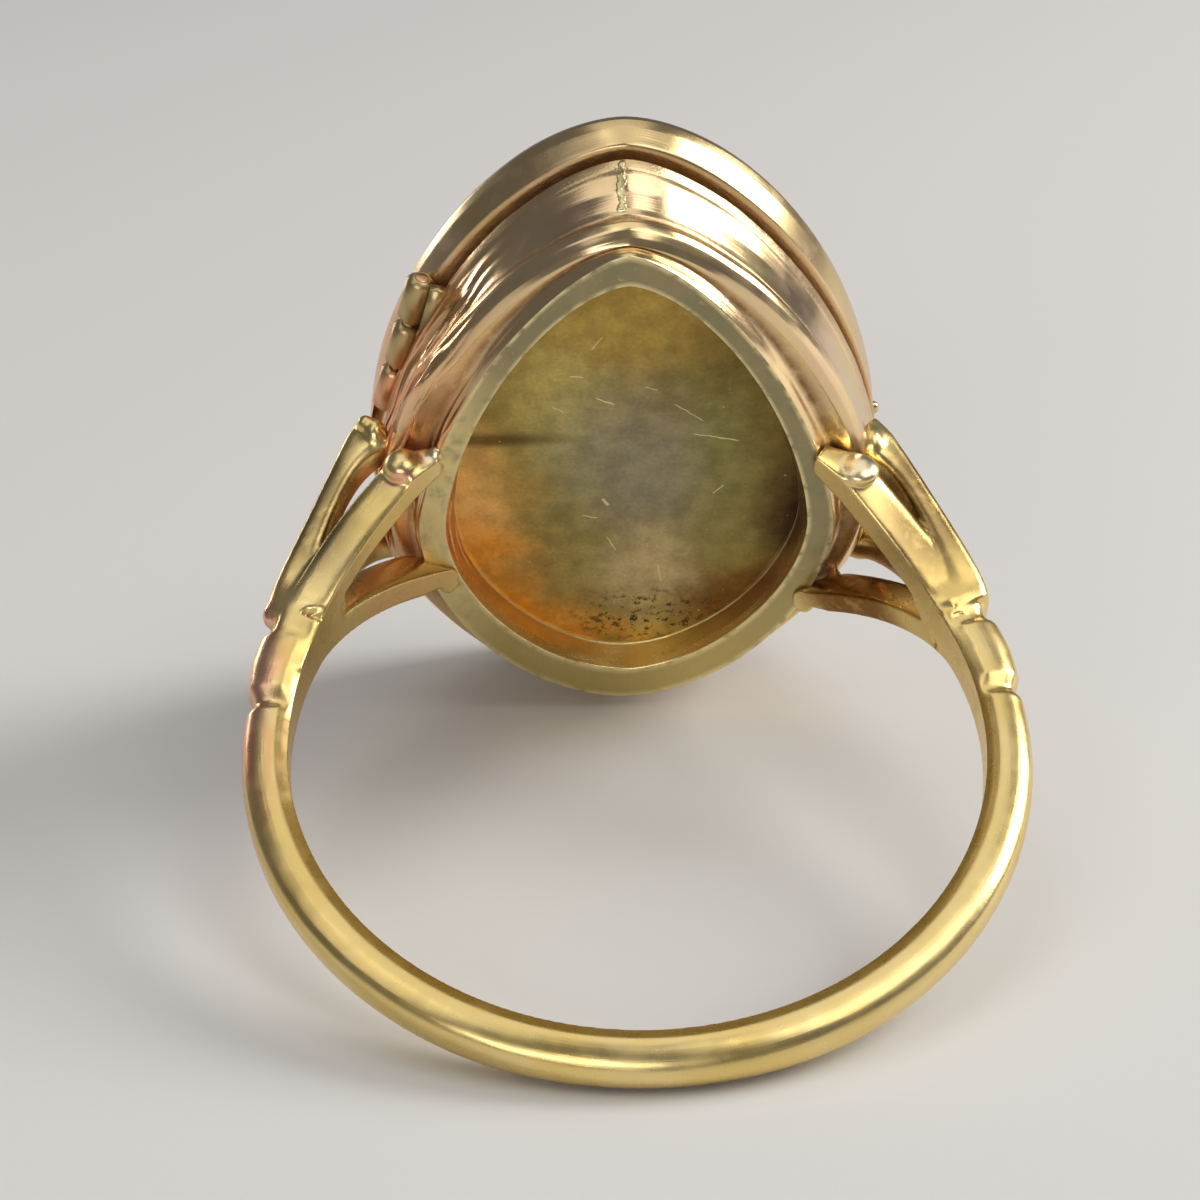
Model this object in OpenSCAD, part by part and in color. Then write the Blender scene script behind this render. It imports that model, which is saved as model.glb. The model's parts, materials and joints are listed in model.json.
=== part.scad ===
/* [Band] */
// Inner diameter of the finger hole
finger_d = 16.9; // [15.5:0.1:19]
// Width of the band's flat inner face
band_w = 1.05; // [0.9:0.05:2]
// Greatest width of the band
band_belly_w = 1.28; // [1.1:0.02:2.4]
// Radial thickness of the band
band_t = 1.16; // [0.9:0.02:1.6]
// Small bevel at both inner edges of the band
band_bevel = 0.14; // [0.05:0.01:0.2]

/* [Shoulders] */
// Radial thickness of an inner bar
inner_bar_t = 1.1; // [0.8:0.05:1.3]
// Thickness of an outer bar
outer_bar_t = 0.66; // [0.5:0.02:0.9]
// Width of an outer bar
outer_bar_w = 0.95; // [0.6:0.05:1.3]

/* [Case] */
// Height of the back rim's face over the centre of the finger hole
rim_h = 7.15; // [6.8:0.05:7.6]
// Depth of the recess behind the back rim
recess_depth = 0.85; // [0.5:0.05:1]
// Thickness of the back plate
plate_t = 0.45; // [0.3:0.05:0.6]
// Thickness of the case wall at its top edge
case_wall = 0.6; // [0.4:0.05:0.8]

/* [Lid] */
// Gap between the case's top edge and the lid
lid_gap = 0.3; // [0.2:0.05:0.4]
// Height of the lid's dome over its bezel
dome_h = 1.1; // [0.4:0.1:2]
// Thickness of the lid
lid_wall = 0.6; // [0.4:0.05:0.9]

/* [Hinge] */
// Radius of a hinge knuckle
knuckle_r = 0.4; // [0.38:0.01:0.5]
// Radius of the hinge pin
pin_r = 0.18; // [0.15:0.01:0.2]
// Radial clearance round the hinge pin
pin_clear = 0.03; // [0.02:0.01:0.05]
// Length of one knuckle
knuckle_len = 1.45; // [1.2:0.05:1.6]
// Gap between two knuckles
knuckle_gap = 0.12; // [0.1:0.01:0.2]

/* [Hidden] */

gold = [0.83, 0.66, 0.36];
rose_gold = [0.82, 0.60, 0.42];
$fn = 64;

finger_r = finger_d / 2;
stations = 72;

// The model is built in the ring's own directions and then laid on its side.
// X runs across the head, Y from the finger hole to the head, Z along the finger.
// An outline is widest at Z = 0, has its pointed end at +Z and its round end at -Z.

// Columns of an outline row: height, half width, pointed length, round length, and
// how full the pointed and the round half are, where 2 is an ellipse and less is keener.
H = 0;
A = 1;
B = 2;
C = 3;
N = 4;
M = 5;

case_top_h = 10;
plate_back_h = rim_h + recess_depth;
floor_h = plate_back_h + plate_t;

// Outside of the case, from the rim's inner edge to the top edge
rim_inner = [rim_h, 4.76, 8.36, 5.69, 1.58, 1.78];
case_outside = [
    rim_inner,
    [rim_h, 5.48, 9.30, 6.89, 1.48, 1.84],
    [7.55, 5.72, 9.28, 7.05, 1.56, 1.78],
    [7.62, 6.34, 9.32, 7.20, 1.58, 1.70],
    [7.80, 6.58, 9.50, 7.34, 1.60, 1.64],
    [8.08, 6.70, 9.58, 7.42, 1.62, 1.64],
    [8.34, 6.62, 9.50, 7.42, 1.62, 1.66],
    [8.50, 6.50, 9.40, 7.42, 1.62, 1.74],
    [8.56, 6.60, 9.44, 7.60, 1.60, 1.78],
    [9.20, 6.72, 9.68, 8.02, 1.58, 1.85],
    [9.80, 6.83, 9.94, 8.42, 1.57, 1.93],
    [case_top_h, 6.86, 10.00, 8.50, 1.58, 1.95]];

// Outside of the lid, from its lower edge to the top of its bezel
lid_low_h = case_top_h + lid_gap;
lid_outside = [
    [lid_low_h, 6.88, 10.08, 8.46, 1.61, 1.95],
    [lid_low_h + 0.15, 6.90, 10.18, 8.54, 1.65, 1.96],
    [lid_low_h + 0.6, 6.90, 10.30, 8.62, 1.72, 2],
    [lid_low_h + 0.9, 6.86, 10.30, 8.62, 1.76, 2],
    [lid_low_h + 1.2, 6.70, 10.12, 8.46, 1.78, 2]];
bezel_h = lid_low_h + 1.2;

// A row moved inward by a distance, at another height
function inward(row, d, h) = [h, row[A] - d, row[B] - 1.25 * d, row[C] - d, row[N], row[M]];

// A row shrunk towards the middle, at another height
function shrunk(row, k, h) = [h, row[A] * k, row[B] * k, row[C] * k, row[N], row[M]];

// The lid's dome, outside and inside, as shrunk copies of the bezel's top row.
// Columns: share of the bezel's size, share of the dome's height.
lid_top = lid_outside[len(lid_outside) - 1];
dome_outside = [for (k = [[0.93, 0.2], [0.82, 0.47], [0.66, 0.72], [0.46, 0.89], [0.24, 0.98], [0.06, 1]])
    shrunk(lid_top, k[0], bezel_h + dome_h * k[1])];
lid_inside = concat(
    [for (k = [[0.06, 1], [0.35, 0.93], [0.6, 0.75], [0.8, 0.46]])
        shrunk(lid_top, k[0], bezel_h - lid_wall + dome_h * k[1])],
    [inward(lid_top, 0.75, bezel_h - 0.4), inward(lid_outside[0], 0.6, lid_low_h)]);

function sign_power(v, p) = sign(v) * pow(abs(v), p);

// The points of one outline row
function ring_points(row) = [for (i = [0 : stations - 1])
    let (t = 360 * i / stations,
         up = sin(t) >= 0,
         p = 2 / (up ? row[N] : row[M]),
         reach = up ? row[B] : row[C])
    [row[A] * sign_power(cos(t), p), row[H], reach * sign_power(sin(t), p)]];

// The faces of a solid whose rings of points follow each other, with flat ends
function loft_faces(rings, sides) = concat(
    [[for (i = [sides - 1 : -1 : 0]) i]],
    [for (k = [0 : rings - 2], i = [0 : sides - 1])
        let (j = (i + 1) % sides)
        [k * sides + i, k * sides + j, (k + 1) * sides + j, (k + 1) * sides + i]],
    [[for (i = [0 : sides - 1]) (rings - 1) * sides + i]]);

module loft(rings) {
    polyhedron(points = [for (r = rings) each r],
               faces = loft_faces(len(rings), len(rings[0])), convexity = 6);
}

// Profile of the band in radius and height: two bevels and a round back. It reaches
// into the finger hole, which is bored through the band and its bars afterwards.
bore_allowance = 0.2;
belly = band_belly_w / 2;
belly_at = 0.34;
back_steps = 9;
function band_back(t, half_w) = [for (i = [0 : back_steps])
    let (a = 180 * i / back_steps)
    [finger_r + belly_at + (t - belly_at) * sin(a), half_w * cos(a)]];
inner_edge = band_w / 2 - band_bevel - bore_allowance;
band_profile = concat(
    [[finger_r - bore_allowance, -inner_edge], [finger_r - bore_allowance, inner_edge],
     [finger_r + band_bevel, band_w / 2]],
    band_back(band_t, belly),
    [[finger_r + band_bevel, -band_w / 2]]);

// Columns of an inner bar's row: side of the ring, where it leaves the band and where it
// meets the back rim along the finger, how late it bends away, and its width.
SIDE = 0;
ROOT_Z = 1;
TOP_Z = 2;
BEND = 3;
WIDTH = 4;
inner_bars = [
    [1, 0.10, 2.45, 1.75, 1.15],
    [1, -0.10, -2.85, 1.40, 0.80],
    [-1, 0.40, 2.60, 1.40, 0.95],
    [-1, 0.05, -1.70, 1.50, 0.90]];

// Columns of an outer bar's row: side, root and top along the finger, and the radius of
// its back at the root and at the top.
ROOT_R = 3;
TOP_R = 4;
outer_bars = [
    [1, 0.30, 1.80, 10.10, 11.40],
    [1, -0.30, -1.80, 10.10, 11.40],
    [-1, 0.35, 1.85, 10.20, 11.90],
    [-1, -0.35, -1.85, 10.20, 11.90]];

band_ends = [16, 12];
inner_bar_start = 10;
inner_bar_top = 55.5;
outer_bar_start = 21.5;
outer_bar_top = 54;
bar_steps = 10;
back_r = finger_r + band_t;
steps = [for (k = [0 : bar_steps]) k / bar_steps];

// A closed outline between two rows of points
function between(one, other) = concat(one, [for (k = [len(other) - 1 : -1 : 0]) other[k]]);

// A point at an angle up the side of the ring and at a radius, seen along the finger
function polar(angle, r) = [r * cos(angle), r * sin(angle)];

// Keeps what lies inside an outline seen along the finger
module seen_along(points) {
    translate([0, 0, -4]) linear_extrude(height = 8) polygon(points);
}

// Keeps what lies inside an outline seen from outside the shoulder, looking at the
// finger's centre. Its points give the way up the ring and the place along the finger.
look_angle = 40;
module seen_from_side(points) {
    rotate([0, 0, look_angle]) translate([4, 0, 0]) rotate([90, 0, 90])
        linear_extrude(height = 10) polygon(points);
}
function way_up(angle, r) = r * sin(angle - look_angle);

// The side outline of a bar whose middle line is given
function bar_outline(line, w) = between([for (p = line) [p[0], p[1] - w / 2]],
                                        [for (p = line) [p[0], p[1] + w / 2]]);

// An inner bar runs on the finger hole from the band to the back rim
module inner_bar(row) {
    line = [for (f = steps)
        let (angle = inner_bar_start + (inner_bar_top - inner_bar_start) * f,
             rise = max(0, (angle - band_ends[0]) / (inner_bar_top - band_ends[0])))
        [way_up(angle, finger_r), row[ROOT_Z] + (row[TOP_Z] - row[ROOT_Z]) * pow(rise, row[BEND])]];
    intersection() {
        cylinder(r = finger_r + inner_bar_t, h = 8, center = true);
        seen_from_side(bar_outline(line, row[WIDTH]));
    }
}

// An outer bar leaves the band's back after a small carved step, swings out and meets the
// side of the case. It is thicker at its root and much thicker where it meets the case.
carved_step = 0.4;
root_swell = 0.7;
top_swell = 1.6;
module outer_bar(row) {
    angles = [for (f = steps) outer_bar_start + (outer_bar_top - outer_bar_start) * f];
    radii = [for (f = steps) row[ROOT_R] + (row[TOP_R] - row[ROOT_R]) * pow(f, 2.4)
                             - carved_step * pow(1 - f, 12)];
    thickness = [for (f = steps)
        outer_bar_t * (1 + root_swell * pow(1 - f, 2) + top_swell * pow(f, 8))];
    inside = [for (k = [0 : bar_steps]) polar(angles[k], radii[k] - thickness[k])];
    outside = [for (k = [0 : bar_steps]) polar(angles[k], radii[k])];
    line = [for (k = [0 : bar_steps])
        [way_up(angles[k], radii[k] - outer_bar_t / 2),
         row[ROOT_Z] + (row[TOP_Z] - row[ROOT_Z]) * pow(steps[k], 1.2)]];
    first = line[0];
    last = line[bar_steps];
    whole_line = concat([[first[0] - 1, first[1]]], line, [[last[0] + 1, last[1]]]);
    intersection() {
        seen_along(between(inside, outside));
        seen_from_side(bar_outline(whole_line, outer_bar_w));
    }
}

// A carved swelling on the band's back, just below each shoulder
swell_low = 9.5;
swell_high = 21;
swell_h = 0.22;
swell_w = 1.1;
swell_root = 0.45;
function swell_angle(f) = swell_low + (swell_high - swell_low) * f;
module swelling() {
    back = [for (f = steps)
        polar(swell_angle(f), back_r - 0.03 + swell_h * pow(sin(180 * pow(f, 1.6)), 0.6))];
    front = [for (f = steps) polar(swell_angle(f), finger_r + swell_root)];
    intersection() {
        seen_along(between(front, back));
        rotate_extrude() polygon(band_back(band_t + swell_h, swell_w / 2));
    }
}

module band() {
    rotate([0, 0, 180 - band_ends[1]]) rotate_extrude(angle = 180 + band_ends[0] + band_ends[1])
        polygon(band_profile);
}

module on_side(side) {
    if (side > 0) children();
    else mirror([1, 0, 0]) children();
}

// The band with its shoulders, bored for the finger
module split_band() {
    difference() {
        union() {
            band();
            for (side = [-1, 1]) on_side(side) swelling();
            for (row = inner_bars) on_side(row[SIDE]) inner_bar(row);
            for (row = outer_bars) on_side(row[SIDE]) outer_bar(row);
        }
        cylinder(r = finger_r, h = 12, center = true);
    }
}

module case_body() {
    top = case_outside[len(case_outside) - 1];
    rows = concat(
        [inward(rim_inner, 0.12, plate_back_h)],
        case_outside,
        [inward(top, case_wall, case_top_h), inward(top, case_wall + 0.55, floor_h)]);
    loft([for (r = rows) ring_points(r)]);
}

module lid_shell() {
    loft([for (r = concat(lid_inside, lid_outside, dome_outside)) ring_points(r)]);
}

// A tiny nub for the fingernail on the lid's edge, across from the hinge
nub_r = 0.2;
module nub() {
    translate([lid_outside[2][A] - 0.08, lid_low_h + 0.65, 0.62]) sphere(r = nub_r, $fn = 24);
}

// The hinge lies along the flank beside the pointed end
hinge_x = -5.72;
hinge_z = 4;
hinge_h = case_top_h + lid_gap / 2;
hinge_slant = 15.5;

// The foot that joins a knuckle to the wall beside it, and the space round a knuckle
foot_l = 0.75;
foot_t = 0.28;
foot_mid = 0.28;
notch_clear = 0.1;

module at_hinge() {
    translate([hinge_x, hinge_h, hinge_z]) rotate([0, hinge_slant, 0]) children();
}

// The groove beside the hinge, which lets the lid's edge turn past the case's edge
gutter_r = 0.3;
gutter_from = -6;
module gutter() {
    at_hinge() translate([0, 0, gutter_from]) cylinder(r = gutter_r, h = 9.5);
}

module knuckle_span(k, extra = 0, r = knuckle_r) {
    pitch = knuckle_len + knuckle_gap;
    translate([0, 0, k * pitch]) cylinder(r = r, h = knuckle_len + 2 * extra, center = true);
}

// A knuckle and the foot that joins it to the wall beside it
module knuckle(k, up) {
    knuckle_span(k);
    pitch = knuckle_len + knuckle_gap;
    translate([foot_l / 2, up * foot_mid, k * pitch]) cube([foot_l, foot_t, knuckle_len], center = true);
}

module pin_bore() {
    cylinder(r = pin_r + pin_clear, h = 12, center = true);
}

// The ring lies on its side: the band's edge and the case's round end touch the ground.
// Each list holds the lengthwise section's points as height and place along the finger.
band_low = [for (p = band_profile) [-p[0], p[1]]];
head_low = [for (row = concat(case_outside, lid_outside, dome_outside)) [row[H], -row[C]]];
function depth(points, t) = min([for (p = points) p[0] * sin(t) + p[1] * cos(t)]);
function run(points, t) = [for (p = points) p[0] * cos(t) - p[1] * sin(t)];
function tilt_between(lo, hi, n) = n == 0 ? (lo + hi) / 2
    : let (mid = (lo + hi) / 2)
      depth(band_low, mid) > depth(head_low, mid) ? tilt_between(mid, hi, n - 1)
                                                  : tilt_between(lo, mid, n - 1);
rest_tilt = tilt_between(5, 60, 30);
shift_y = -(min(run(band_low, rest_tilt)) + max(run(head_low, rest_tilt))) / 2;
shift_z = -depth(band_low, rest_tilt);

module lay_down() {
    translate([0, shift_y, shift_z]) rotate([rest_tilt, 0, 0]) children();
}

module band_and_case() {
    color(gold) lay_down() difference() {
        union() {
            split_band();
            difference() {
                case_body();
                gutter();
            }
            at_hinge() for (k = [-1, 1]) knuckle(k, -1);
        }
        at_hinge() {
            pin_bore();
            knuckle_span(0, knuckle_gap, knuckle_r + notch_clear);
        }
    }
}

module hinge_pin() {
    color(rose_gold) lay_down() at_hinge()
        cylinder(r = pin_r, h = 3 * knuckle_len + 2 * knuckle_gap, center = true);
}

module lid() {
    color(rose_gold) lay_down() difference() {
        union() {
            difference() {
                lid_shell();
                gutter();
            }
            nub();
            at_hinge() knuckle(0, 1);
        }
        at_hinge() {
            pin_bore();
            for (k = [-1, 1]) knuckle_span(k, knuckle_gap, knuckle_r + notch_clear);
        }
    }
}

band_and_case();
hinge_pin();
lid();
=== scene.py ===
"""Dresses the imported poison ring: a finer case, lid and shoulders, worn gold, light and camera."""
import json
import math

import bpy
import numpy as np
from mathutils import Matrix, Vector, noise
from mathutils.bvhtree import BVHTree


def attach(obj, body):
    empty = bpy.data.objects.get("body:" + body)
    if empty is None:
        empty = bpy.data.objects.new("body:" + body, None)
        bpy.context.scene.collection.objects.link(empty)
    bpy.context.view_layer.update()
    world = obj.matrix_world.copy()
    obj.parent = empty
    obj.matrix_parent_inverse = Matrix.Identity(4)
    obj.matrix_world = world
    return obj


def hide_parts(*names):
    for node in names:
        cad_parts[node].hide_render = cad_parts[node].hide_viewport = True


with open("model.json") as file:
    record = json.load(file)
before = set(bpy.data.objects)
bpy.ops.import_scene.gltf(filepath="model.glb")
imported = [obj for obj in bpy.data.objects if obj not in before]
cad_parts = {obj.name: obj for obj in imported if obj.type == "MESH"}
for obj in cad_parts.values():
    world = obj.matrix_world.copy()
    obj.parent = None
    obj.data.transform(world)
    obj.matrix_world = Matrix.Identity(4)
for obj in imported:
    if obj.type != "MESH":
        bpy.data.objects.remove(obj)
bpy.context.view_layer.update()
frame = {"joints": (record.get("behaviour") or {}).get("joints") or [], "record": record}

# Ring space: millimetres across the head, up from the finger's centre to the head, and along
# the finger towards the case's pointed end. The finger hole's mount says how it lies.
MM = 0.001
TINY = 1e-6
ACROSS, UP, ALONG = 0, 1, 2
hole = next(m for m in frame["record"]["mounts"] if m["name"] == "finger_hole")
HOLE_CENTRE = np.array(hole["pos_m"])
TILT = math.atan2(-hole["axis"][1], hole["axis"][2])
FINGER_R = hole["dims"]["r_mm"]


def to_world(points):
    """Ring points or directions turned into the scene's metres, still from the finger's centre."""
    across, up, along = np.asarray(points, float).T
    level = up * math.cos(TILT) - along * math.sin(TILT)
    rise = up * math.sin(TILT) + along * math.cos(TILT)
    return np.stack([across, level, rise], -1) * MM


def to_scene(points):
    """Ring points as places in the scene."""
    return to_world(points) + HOLE_CENTRE


# Outline rows, as in the part: height, half width, pointed length, round length, and how full
# the pointed and the round half are. The last column is how much painted shade and dirt the row holds.
HEIGHT, HALF_W, POINTED, ROUND, FULL_P, FULL_R, SHADE_AND_DIRT = range(7)
RIM_H = 7.15
RECESS = 0.85
PLATE = RIM_H + RECESS
FLOOR_H = PLATE + 0.45
CASE_TOP = 10.0
CASE_WALL = 0.6
RIM_INNER = [RIM_H, 4.76, 8.36, 5.69, 1.58, 1.78, 0.1]
# The two rows full of shade and dirt are the dark grooves, which get painted shade
CASE_OUTSIDE = [
    RIM_INNER,
    [RIM_H, 5.48, 9.30, 6.89, 1.48, 1.84, 0.0],
    [7.52, 5.66, 9.28, 7.03, 1.54, 1.79, 0.0],
    [7.62, 5.78, 9.24, 7.06, 1.56, 1.78, 1.0],
    [7.60, 6.12, 9.28, 7.14, 1.57, 1.74, 0.2],
    [7.62, 6.32, 9.31, 7.19, 1.58, 1.70, 0.0],
    [7.74, 6.52, 9.42, 7.30, 1.60, 1.66, 0.0],
    [7.92, 6.66, 9.54, 7.39, 1.61, 1.64, 0.0],
    [8.12, 6.71, 9.58, 7.43, 1.62, 1.64, 0.0],
    [8.34, 6.63, 9.51, 7.41, 1.62, 1.66, 0.1],
    [8.48, 6.50, 9.40, 7.38, 1.62, 1.73, 1.0],
    [8.54, 6.60, 9.46, 7.58, 1.60, 1.78, 0.2],
    [8.70, 6.61, 9.48, 7.66, 1.60, 1.79, 0.0],
    [9.20, 6.68, 9.64, 7.98, 1.58, 1.85, 0.0],
    [9.62, 6.77, 9.84, 8.30, 1.57, 1.91, 0.1],
    [9.72, 6.82, 9.92, 8.38, 1.57, 1.92, 0.2],
    [CASE_TOP, 6.86, 10.00, 8.50, 1.58, 1.95, 0.3]]
LID_LOW = CASE_TOP + 0.3
LID_WALL = 0.6
DOME_H = 1.1
LID_OUTSIDE = [
    # The lid's lower edge: painted shade, coloured as an orange painted reflection
    [LID_LOW, 6.84, 10.04, 8.42, 1.61, 1.95, 0.6],
    [LID_LOW + 0.05, 6.90, 10.14, 8.50, 1.63, 1.955, 0.0],
    [LID_LOW + 0.22, 6.90, 10.18, 8.55, 1.66, 1.965, 0.0],
    [LID_LOW + 0.60, 6.90, 10.28, 8.61, 1.72, 2, 0.0],
    [LID_LOW + 0.90, 6.86, 10.28, 8.61, 1.76, 2, 0.0],
    [LID_LOW + 1.20, 6.70, 10.12, 8.46, 1.78, 2, 0.0]]
BEZEL_TOP = LID_OUTSIDE[-1]
# Points round each row, and the greatest step between two rows
STATIONS = 300
ROW_STEP = 0.16
# Places along a corner's curve, and the most that a corner takes of the stretch beside it
CORNER_STEPS = (0.0, 0.25, 0.5, 0.75, 1.0)
CORNER_SHARE = 0.45
# How much further the pointed end moves inward than the sides do
POINT_INSET = 1.25
# A row this small closes a face at its middle
TO_MIDDLE = 0.01


def inward(row, gap, height, shade_and_dirt=0.0):
    """A row moved inward by a gap, at another height."""
    return [height, row[HALF_W] - gap, row[POINTED] - POINT_INSET * gap, row[ROUND] - gap,
            row[FULL_P], row[FULL_R], shade_and_dirt]


def shrunk(row, share, height, shade_and_dirt=0.0):
    """A row shrunk towards the middle, at another height."""
    return [height, row[HALF_W] * share, row[POINTED] * share, row[ROUND] * share,
            row[FULL_P], row[FULL_R], shade_and_dirt]


def row_gap(one, other):
    """How far apart two rows lie, by height and by their widest change in size."""
    sizes = np.abs(np.asarray(other) - np.asarray(one))
    return math.hypot(sizes[HEIGHT], sizes[[HALF_W, POINTED, ROUND]].max())


def softened(rows, radius, step=ROW_STEP):
    """The rows with each corner rounded and long stretches divided."""
    rows = [np.asarray(row, float) for row in rows]
    out = [rows[0]]
    for before, corner, after in zip(rows, rows[1:], rows[2:]):
        back, ahead = row_gap(corner, before), row_gap(corner, after)
        start = corner + (before - corner) * min(radius, CORNER_SHARE * back) / max(back, TINY)
        end = corner + (after - corner) * min(radius, CORNER_SHARE * ahead) / max(ahead, TINY)
        for t in CORNER_STEPS:
            out.append(start * (1 - t) ** 2 + corner * 2 * t * (1 - t) + end * t ** 2)
    out.append(rows[-1])
    filled = [out[0]]
    for one, other in zip(out, out[1:]):
        parts = max(1, math.ceil(row_gap(one, other) / step))
        filled += [one + (other - one) * k / parts for k in range(1, parts + 1)]
    return np.array(filled)


def signed_power(value, power):
    return np.sign(value) * np.abs(value) ** power


def outline_points(rows):
    """Ring points of every row, one ring of stations after another."""
    turn = np.linspace(0, 2 * math.pi, STATIONS, endpoint=False)
    pointed = np.sin(turn) >= 0
    rings = []
    for row in rows:
        power = 2 / np.where(pointed, row[FULL_P], row[FULL_R])
        reach = np.where(pointed, row[POINTED], row[ROUND])
        across = row[HALF_W] * signed_power(np.cos(turn), power)
        along = reach * signed_power(np.sin(turn), power)
        rings.append(np.stack([across, np.full(STATIONS, row[HEIGHT]), along], 1))
    return np.concatenate(rings)


def loft_faces(rings, sides):
    """Quads between rings of points, with a flat face at each end."""
    faces = [tuple(range(sides - 1, -1, -1))]
    for k in range(rings - 1):
        for i in range(sides):
            j = (i + 1) % sides
            faces.append((k * sides + i, k * sides + j, (k + 1) * sides + j, (k + 1) * sides + i))
    faces.append(tuple((rings - 1) * sides + i for i in range(sides)))
    return faces


def uneven(points, size, seed):
    """A smooth random number from -1 to 1 for each ring point."""
    shift = Vector((seed, 2 * seed, -seed))
    return np.array([noise.noise(Vector(p) / size + shift) for p in points])


def beaten(points, waves):
    """How far an uneven surface stands out at each point, from rows of stretch, size, seed and depth."""
    return sum(uneven(points * stretch, size, seed) * depth for stretch, size, seed, depth in waves)


def pushed_out(points, amounts):
    """Points moved by an amount each away from the line that stands on the ring's middle."""
    away = points * (1, 0, 1)
    reach = np.maximum(np.linalg.norm(away, axis=1, keepdims=True), TINY)
    return points + away / reach * amounts[:, None]


def shell(rows):
    """Points, faces, and painted shade and dirt, of a lofted shell through outline rows."""
    faces = [face[::-1] for face in loft_faces(len(rows), STATIONS)]
    return outline_points(rows), faces, np.repeat(rows[:, SHADE_AND_DIRT], STATIONS)


def add_attribute(mesh, name, values):
    values = np.asarray(values, np.float32)
    kind = "FLOAT" if values.ndim == 1 else "FLOAT_VECTOR"
    attribute = mesh.attributes.new(name, kind, "POINT")
    attribute.data.foreach_set("value" if values.ndim == 1 else "vector", values.ravel())


# Mean radii, which turn an angle round the case or the band into a length
CASE_R, BAND_R = 7, 9


def around(points):
    """Places along the case's outline and up its side, for streaks that follow its tiers."""
    turn = np.arctan2(points[:, ACROSS], points[:, ALONG])
    return np.stack([turn * CASE_R, points[:, UP], np.zeros(len(points))], 1)


def along_band(points):
    """Places along the band, outward from it and across it, for marks that follow it."""
    turn = np.arctan2(points[:, ACROSS], -points[:, UP])
    radius = np.hypot(points[:, ACROSS], points[:, UP])
    return np.stack([turn * BAND_R, radius, points[:, ALONG]], 1)


def placed(name, data):
    """A new object in the scene."""
    obj = bpy.data.objects.new(name, data)
    bpy.context.scene.collection.objects.link(obj)
    return obj


def piece(name, points, faces, body, nodes, materials, lay, shade_and_dirt=None, indices=None):
    """A smooth mesh piece from ring points, which rides on a body in place of some CAD nodes."""
    mesh = bpy.data.meshes.new(name)
    mesh.from_pydata(to_scene(points).tolist(), [], faces)
    mesh.validate()
    mesh.polygons.foreach_set("use_smooth", [True] * len(mesh.polygons))
    add_attribute(mesh, "ring", points)
    add_attribute(mesh, "lay", lay(np.asarray(points)))
    add_attribute(mesh, "shade_and_dirt", np.zeros(len(points)) if shade_and_dirt is None else shade_and_dirt)
    for material in materials:
        mesh.materials.append(material)
    if indices is not None:
        mesh.polygons.foreach_set("material_index", indices)
    obj = placed(name, mesh)
    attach(obj, body)
    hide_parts(*nodes)
    return obj


# Shaders


class Shader:
    """A node material, built one node at a time."""

    def __init__(self, name):
        self.material = bpy.data.materials.new(name)
        self.material.use_nodes = True
        self.tree = self.material.node_tree
        self.tree.nodes.clear()
        self.out = self.node("ShaderNodeOutputMaterial")

    def node(self, kind, inputs=None, **settings):
        made = self.tree.nodes.new(kind)
        for key, value in settings.items():
            setattr(made, key, value)
        for key, value in (inputs or {}).items():
            if isinstance(value, bpy.types.NodeSocket):
                self.tree.links.new(value, made.inputs[key])
            else:
                made.inputs[key].default_value = value
        return made

    def attribute(self, name, output="Vector"):
        return self.node("ShaderNodeAttribute", attribute_name=name).outputs[output]

    def vector(self, how, one, other, output=0):
        return self.node("ShaderNodeVectorMath", {0: one, 1: other}, operation=how).outputs[output]

    def scaled(self, vector, scale):
        return self.vector("MULTIPLY", vector, scale)

    def length(self, vector):
        return self.node("ShaderNodeVectorMath", {0: vector}, operation="LENGTH").outputs["Value"]

    def noise(self, vector, scale, detail=3.0, rough=0.55, warp=0.0):
        made = self.node("ShaderNodeTexNoise", {"Vector": vector, "Scale": scale, "Detail": detail,
                                                "Roughness": rough, "Distortion": warp})
        return made.outputs["Fac"]

    def ramp(self, value, low, high, to_low=0.0, to_high=1.0):
        made = self.node("ShaderNodeMapRange", {"Value": value, "From Min": low, "From Max": high,
                                                "To Min": to_low, "To Max": to_high},
                         interpolation_type="SMOOTHSTEP")
        return made.outputs[0]

    def math(self, how, one, other=0.0, clamp=False):
        made = self.node("ShaderNodeMath", {0: one, 1: other}, operation=how, use_clamp=clamp)
        return made.outputs[0]

    def times(self, one, other, clamp=False):
        return self.math("MULTIPLY", one, other, clamp)

    def mix(self, share, one, other):
        one, other = [(*tone, 1) if isinstance(tone, tuple) else tone for tone in (one, other)]
        return self.node("ShaderNodeMix", {0: share, 6: one, 7: other}, data_type="RGBA").outputs[2]

    def painted(self, tone, colour, share, strength=1.0):
        """A tone with a colour laid over it, by a share and a strength."""
        return self.mix(self.times(share, strength), tone, colour)

    def spot(self, place, size, soft=0.6):
        """1 inside an oval on the ring, falling to 0 outside it."""
        away = self.vector("SUBTRACT", self.attribute("ring"), place)
        reach = self.length(self.scaled(away, tuple(1 / s for s in size)))
        return self.ramp(reach, 1 + soft, 1 - soft)

    def bump(self, height, depth_mm, under=None):
        inputs = {"Height": height, "Strength": 1.0, "Distance": depth_mm * MM}
        if under is not None:
            inputs["Normal"] = under
        return self.node("ShaderNodeBump", inputs).outputs[0]

    def finish(self, **inputs):
        surface = self.node("ShaderNodeBsdfPrincipled", {k.replace("_", " "): v for k, v in inputs.items()})
        self.tree.links.new(surface.outputs[0], self.out.inputs["Surface"])
        return self.material


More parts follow.
